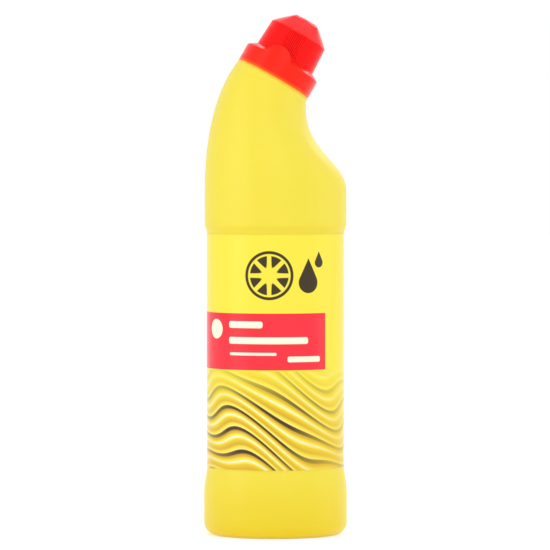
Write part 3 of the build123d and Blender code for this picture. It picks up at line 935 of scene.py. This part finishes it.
def closure_plastic(name, deep, light):
    """Glossy moulded plastic: faint flow streaks in the colour, and gloss dulled in patches."""
    material, tree, shader = new_material(name)
    flow = noise(tree, scale=60.0, detail=3.0, stretch=(1.0, 1.0, 0.35))
    # Painted shade: the red is painted deeper where the mesh's attribute marks the valleys between the ribs.
    shade = tree.nodes.new("ShaderNodeAttribute")
    shade.attribute_name = "rib_painted_shade"
    red = lay_ink(lay_ink(deep, light, flow), RIB_SHADE_RED, shade.outputs["Fac"])
    # Painted reflection: the collar's lower edge is painted orange, as if lit by the yellow bottle.
    edge = run(neck_level(tree), COLLAR_BOTTOM, EDGE_REACH, EDGE_REFLECTION_SHARE, 0.0)
    finish = {
        "Base Color": lay_ink(red, EDGE_PAINTED_REFLECTION, edge),
        "Roughness": spread(noise(tree, scale=220.0, detail=3.0), low=0.18, high=0.3),
        "Normal": bump(noise(tree, scale=1800.0), strength=0.06, distance=0.0001),
        "IOR": PLASTIC_IOR,
        "Specular IOR Level": 0.17,
    }
    feed_named(shader, finish)
    return material, tree, shader


cap_plastic, tree, shader = closure_plastic("cap_plastic", *CAP_REDS)
polish_from, polish_to = CAP_EDGE - POLISH_BELOW, CAP_EDGE + POLISH_ABOVE
polish = run(neck_level(tree), polish_from, polish_to, WALL_POLISH, CROWN_POLISH)
feed(shader.inputs["Specular IOR Level"], polish)
collar_plastic, _, _ = closure_plastic("collar_plastic", *COLLAR_REDS)
for piece in (cap, cap_thread):
    piece.data.materials.append(cap_plastic)
for piece in (spout_collar, spout_thread):
    piece.data.materials.append(collar_plastic)
print("closure plastic has", len(cap_plastic.node_tree.nodes), "nodes")

# %% [markdown]
# ## Foam disc
#
# The sealing disc is punched from foamed sheet, so it is white and finely pitted. Its solid in the frame
# has the right shape already, and only its finish is new.

# %% White foam material
PIT_GREY, FOAM_WHITE = (0.78, 0.78, 0.75, 1), (0.88, 0.88, 0.86, 1)
foam_material, tree, shader = new_material("disc_foam")
pits = noise(tree, scale=2400.0, detail=3.0)
foam_finish = {
    "Base Color": lay_ink(PIT_GREY, FOAM_WHITE, pits),
    "Normal": bump(pits, strength=0.3, distance=0.0002),
    "Roughness": 0.8,
}
feed_named(shader, foam_finish)
disc = frame["nodes"]["sealing_disc"]
disc.data.materials.clear()
disc.data.materials.append(foam_material)
print("foam has", len(tree.nodes), "nodes")

# %% [markdown]
# ## Label print
#
# The film is printed in flat inks: a yellow field, a red block that wraps to the left, plain cream bars
# and a disc on it, and a soft band of gold and brown waves below. A citrus wheel and two drops stand for
# the contents. Each shape is a mask worked out from the strip's own lengths, in millimetres, as a
# distance to the shape's edge with a hair of softness.

# %% Masks for bars and discs
SOFT_EDGE = 0.12


def inked(distance):
    """Mask from a distance in mm: 1 inside, 0 outside, soft over a hair's width."""
    return run(distance, -SOFT_EDGE, SOFT_EDGE, 1.0, 0.0)


def length_of(x, y):
    """Length of a flat vector: sqrt(x^2 + y^2)."""
    return root(plus(times(x, x), times(y, y)))


def bar_mask(across, up, left, right, low, high, corner):
    """Round-cornered bar: length of what is beyond its inner box, less the corner."""
    beyond = []
    for value, start, end in ((across, left, right), (up, low, high)):
        offset = absolute(minus(value, (start + end) / 2))
        beyond.append(larger(minus(offset, (end - start) / 2 - corner), 0.0))
    return inked(minus(length_of(*beyond), corner))


def from_point(across, up, middle):
    """Distance from a middle, and the two lengths across and up from it."""
    x = minus(across, middle[0])
    y = minus(up, middle[1])
    return length_of(x, y), x, y


print("the edges of the print are soft over", 2 * SOFT_EDGE, "mm")

# %% Masks for the wheel and the drops
RIND_MIDDLE, RIND_HALF, FLESH_RADIUS, FLESH_GAP = 0.94, 0.06, 0.8, 0.085
DROP_TIP, DROP_FLARE, DROP_TOUCH = 2.3, 0.483, 0.43


def wheel_mask(across, up, middle, size, segments):
    """Citrus wheel: a rind ring, and segments parted by even gaps: |r sin(n a / 2)| over a gap."""
    r, x, y = from_point(across, up, middle)
    rind = minus(absolute(minus(r, RIND_MIDDLE * size)), RIND_HALF * size)
    swing = times(r, absolute(sine(times(turn_of(y, x), segments / 2))))
    gap = minus(FLESH_GAP * size, times(swing, 2.0 / segments))
    flesh = larger(minus(r, FLESH_RADIUS * size), gap)
    return inked(smaller(rind, flesh))


def drop_mask(across, up, middle, size):
    """Drop: a circle joined to the cone that touches it and ends in a point above."""
    r, x, y = from_point(across, up, middle)
    circle = minus(r, size)
    below_tip = minus(DROP_TIP * size, y)
    side = minus(absolute(x), times(below_tip, DROP_FLARE))
    cone = larger(side, minus(DROP_TOUCH * size, y))
    return inked(smaller(circle, cone))


print("a drop is", 1 + DROP_TIP, "radii tall")

# %% Waves on the yellow field
YELLOW_INK = (0.93, 0.79, 0.06, 1)
CREAM_INK = (0.97, 0.93, 0.72, 1)
GOLD_INK = (0.7, 0.42, 0.024, 1)
HONEY_INK = (0.82, 0.56, 0.026, 1)
BUTTER_INK = (0.96, 0.83, 0.26, 1)
TOFFEE_INK = (0.075, 0.036, 0.012, 1)
WAVE_STOPS = (
    (0.0, HONEY_INK), (0.08, YELLOW_INK), (0.15, CREAM_INK), (0.22, YELLOW_INK), (0.38, GOLD_INK),
    (0.48, TOFFEE_INK), (0.58, TOFFEE_INK), (0.63, BUTTER_INK), (0.69, YELLOW_INK), (0.84, GOLD_INK),
    (1.0, HONEY_INK),
)
WAVE_TOP, WAVE_LENGTH, WAVE_LEAN = 52.6, 10.5, 0.3
SWELL_PACE, SWELL_HEIGHT = 0.07, 7.0
RIPPLE_ACROSS, RIPPLE_UP, RIPPLE_HEIGHT = 0.16, 0.1, 2.4
label_material, tree, shader = new_material("label_film")
strip = tree.nodes.new("ShaderNodeUVMap")
strip.uv_map = "print"
across, up = (times(part, UV_UNIT) for part in parts_of(strip.outputs[0])[:2])
swell = times(sine(times(across, SWELL_PACE)), SWELL_HEIGHT)
ripple = sine(plus(times(across, RIPPLE_ACROSS), times(up, RIPPLE_UP)))
slope = plus(plus(up, swell), times(across, WAVE_LEAN))
folds = plus(slope, times(ripple, RIPPLE_HEIGHT))
ramp = tree.nodes.new("ShaderNodeValToRGB")
feed(ramp.inputs[0], fraction(divided(folds, WAVE_LENGTH)))
ramp.color_ramp.interpolation = "EASE"
for element, (position, ink) in zip(ramp.color_ramp.elements, (WAVE_STOPS[0], WAVE_STOPS[-1])):
    element.position, element.color = position, ink
for position, ink in WAVE_STOPS[1:-1]:
    ramp.color_ramp.elements.new(position).color = ink
print("the waves have", len(ramp.color_ramp.elements), "stops of ink")

# %% Fading of the waves
WAVE_MIDDLE = (-14.0, 24.0)
FADE_FROM, FADE_TO, FADE_LEAST = 18.0, 51.0, 0.3
WAVE_RISE, RISE_LEAST = 20.0, 0.35
from_middle, _, _ = from_point(across, up, WAVE_MIDDLE)
fading = run(from_middle, FADE_FROM, FADE_TO, 1.0, FADE_LEAST)
rising = run(up, WAVE_TOP, WAVE_TOP - WAVE_RISE, RISE_LEAST, 1.0)
deepening = run(up, WAVE_TOP, 0.0, 0.0, 1.0)
wave_field = inked(minus(up, WAVE_TOP))
waves = times(wave_field, times(fading, rising))
print_colour = lay_ink(YELLOW_INK, HONEY_INK, times(wave_field, deepening))
print_colour = lay_ink(print_colour, ramp.outputs[0], waves)
print("the waves end", WAVE_TOP, "mm up the strip")

# %% Red block, cream shapes and brown marks
RED_INK = (0.92, 0.03, 0.05, 1)
BROWN_INK = (0.05, 0.032, 0.011, 1)
RED_BLOCK = (-64.0, 25.1, 53.1, 83.2, 0.4)
CREAM_BARS = (
    (-30.5, -11.0, 75.4, 79.0, 1.2), (-30.5, 13.8, 67.0, 70.6, 1.2), (-30.0, -3.6, 60.9, 62.4, 0.6),
    (2.3, 21.2, 57.4, 60.4, 1.0),
)
CREAM_DISC, CREAM_DISC_RADIUS = (-40.5, 74.6), 5.2
WHEEL, WHEEL_RADIUS, WHEEL_SEGMENTS = (-7.5, 103.3), 13.0, 8.0
DROPS = (((14.0, 99.5), 5.6), ((20.5, 110.0), 2.6))
shapes = [(RED_INK, bar_mask(across, up, *RED_BLOCK))]
shapes += [(CREAM_INK, bar_mask(across, up, *bar)) for bar in CREAM_BARS]
from_disc, _, _ = from_point(across, up, CREAM_DISC)
shapes.append((CREAM_INK, inked(minus(from_disc, CREAM_DISC_RADIUS))))
shapes.append((BROWN_INK, wheel_mask(across, up, WHEEL, WHEEL_RADIUS, WHEEL_SEGMENTS)))
shapes += [(BROWN_INK, drop_mask(across, up, middle, size)) for middle, size in DROPS]
for ink, mask in shapes:
    print_colour = lay_ink(print_colour, ink, mask)
film_waviness = noise(tree, scale=30.0, stretch=(1.0, 1.0, 0.25))
film_finish = {
    "Base Color": print_colour,
    "Roughness": spread(noise(tree, scale=90.0), low=0.16, high=0.26),
    "Normal": bump(film_waviness, strength=0.1, distance=0.0006),
    "IOR": PLASTIC_IOR,
    "Specular IOR Level": 0.26,
}
feed_named(shader, film_finish)
label.data.materials.append(label_material)
print("label film has", len(shapes), "printed shapes and", len(tree.nodes), "nodes")

# %% [markdown]
# ## Studio
#
# The pack is shown on plain white, as in a shop listing. The world is white for the camera and for
# reflections, and a little dimmer for the light that falls on the pack, so the large soft lamps at the
# sides and above can still give it form. The floor is pale, keeps the shadow, and gives a little light
# back to the foot of the bottle.

# %% White world
WHITE = (1, 1, 1, 1)
WORLD_LIGHT = 0.8


def seen_ray(tree):
    """One on rays that show the backdrop: those of the camera, of a reflection, and through clear things."""
    path = tree.nodes.new("ShaderNodeLightPath")
    seen = larger(path.outputs["Is Camera Ray"], path.outputs["Is Glossy Ray"])
    return larger(seen, path.outputs["Is Transmission Ray"])


world = bpy.data.worlds.new("white_studio")
bpy.context.scene.world = world
world.use_nodes = True
tree = world.node_tree
world_strength = spread(seen_ray(tree), low=WORLD_LIGHT, high=1.0)
feed_named(tree.nodes["Background"], {"Color": WHITE, "Strength": world_strength})
print("the world casts", WORLD_LIGHT, "of the white that it shows")

# %% Pale floor
FLOOR_HALF = 6000.0
FLOOR_GREY = (0.7, 0.7, 0.7, 1)
FLOOR_CAST, FLOOR_SEEN = 0.25, 0.48
floor_corners = FLOOR_HALF * np.array([[-1, -1, 0], [1, -1, 0], [1, 1, 0], [-1, 1, 0]], float)
floor_mesh = bpy.data.meshes.new("floor")
floor_mesh.from_pydata((floor_corners * MM).tolist(), [], [[0, 1, 2, 3]])
floor = bpy.data.objects.new("floor", floor_mesh)
bpy.context.scene.collection.objects.link(floor)
floor_material, tree, shader = new_material("pale_floor")
floor_finish = {
    "Base Color": FLOOR_GREY,
    "Roughness": 1.0,
    "Specular IOR Level": 0.0,
    "Emission Color": WHITE,
    "Emission Strength": spread(seen_ray(tree), low=FLOOR_CAST, high=FLOOR_SEEN),
}
feed_named(shader, floor_finish)
floor_mesh.materials.append(floor_material)
print("floor is", 2 * FLOOR_HALF, "mm wide")


# %% Soft lamps
def soft_lamp(name, place, aim, width, tall, watts):
    """A rectangular lamp at a place in mm, turned to its aim."""
    lamp = bpy.data.lights.new(name, "AREA")
    lamp.shape = "RECTANGLE"
    lamp.size, lamp.size_y = width * MM, tall * MM
    lamp.energy = watts
    holder = bpy.data.objects.new(name, lamp)
    holder.location = Vector(place) * MM
    holder.rotation_euler = (Vector(aim) - Vector(place)).to_track_quat("-Z", "Y").to_euler()
    bpy.context.scene.collection.objects.link(holder)


MIDDLE, TOP = (0.0, 0.0, 140.0), (0.0, 0.0, 250.0)
soft_lamp("left_softbox", (-1100.0, -500.0, 450.0), MIDDLE, width=700.0, tall=1100.0, watts=2.9)
soft_lamp("right_softbox", (1100.0, -300.0, 450.0), MIDDLE, width=600.0, tall=1100.0, watts=1.6)
soft_lamp("top_softbox", (0.0, -500.0, 1300.0), MIDDLE, width=1200.0, tall=900.0, watts=1.2)
soft_lamp("front_softbox", (100.0, -1600.0, 800.0), MIDDLE, width=1400.0, tall=1000.0, watts=3.4)
soft_lamp("back_softbox", (500.0, 900.0, 900.0), TOP, width=700.0, tall=500.0, watts=4.2)

# %% [markdown]
# ## Camera
#
# The photograph is taken from far away with a long lens, a little from the side that the bottle leans
# away from. Its height, distance and turn were worked out from the rims that look straight or curved.

# %% Camera
CAMERA_TURN = np.radians(-7.0)
CAMERA_DISTANCE = 2500.0
CAMERA_HEIGHT = 226.0
AIM = Vector((-0.3, 0.0, 139.2))
MM_PER_PIXEL = 0.5355
IMAGE_SIDE = 550
camera_data = bpy.data.cameras.new("camera")
camera_data.sensor_width = 36.0
camera_data.lens = camera_data.sensor_width * CAMERA_DISTANCE / (MM_PER_PIXEL * IMAGE_SIDE)
camera_data.clip_end = 30.0
camera = bpy.data.objects.new("camera", camera_data)
place = Vector(
    (CAMERA_DISTANCE * np.sin(CAMERA_TURN), -CAMERA_DISTANCE * np.cos(CAMERA_TURN), CAMERA_HEIGHT)
)
camera.location = place * MM
camera.rotation_euler = (AIM - place).to_track_quat("-Z", "Y").to_euler()
bpy.context.scene.collection.objects.link(camera)
bpy.context.scene.camera = camera
bpy.context.scene.view_settings.view_transform = "Standard"
print("lens", round(camera_data.lens, 1), "mm at", [round(value, 3) for value in camera.location])
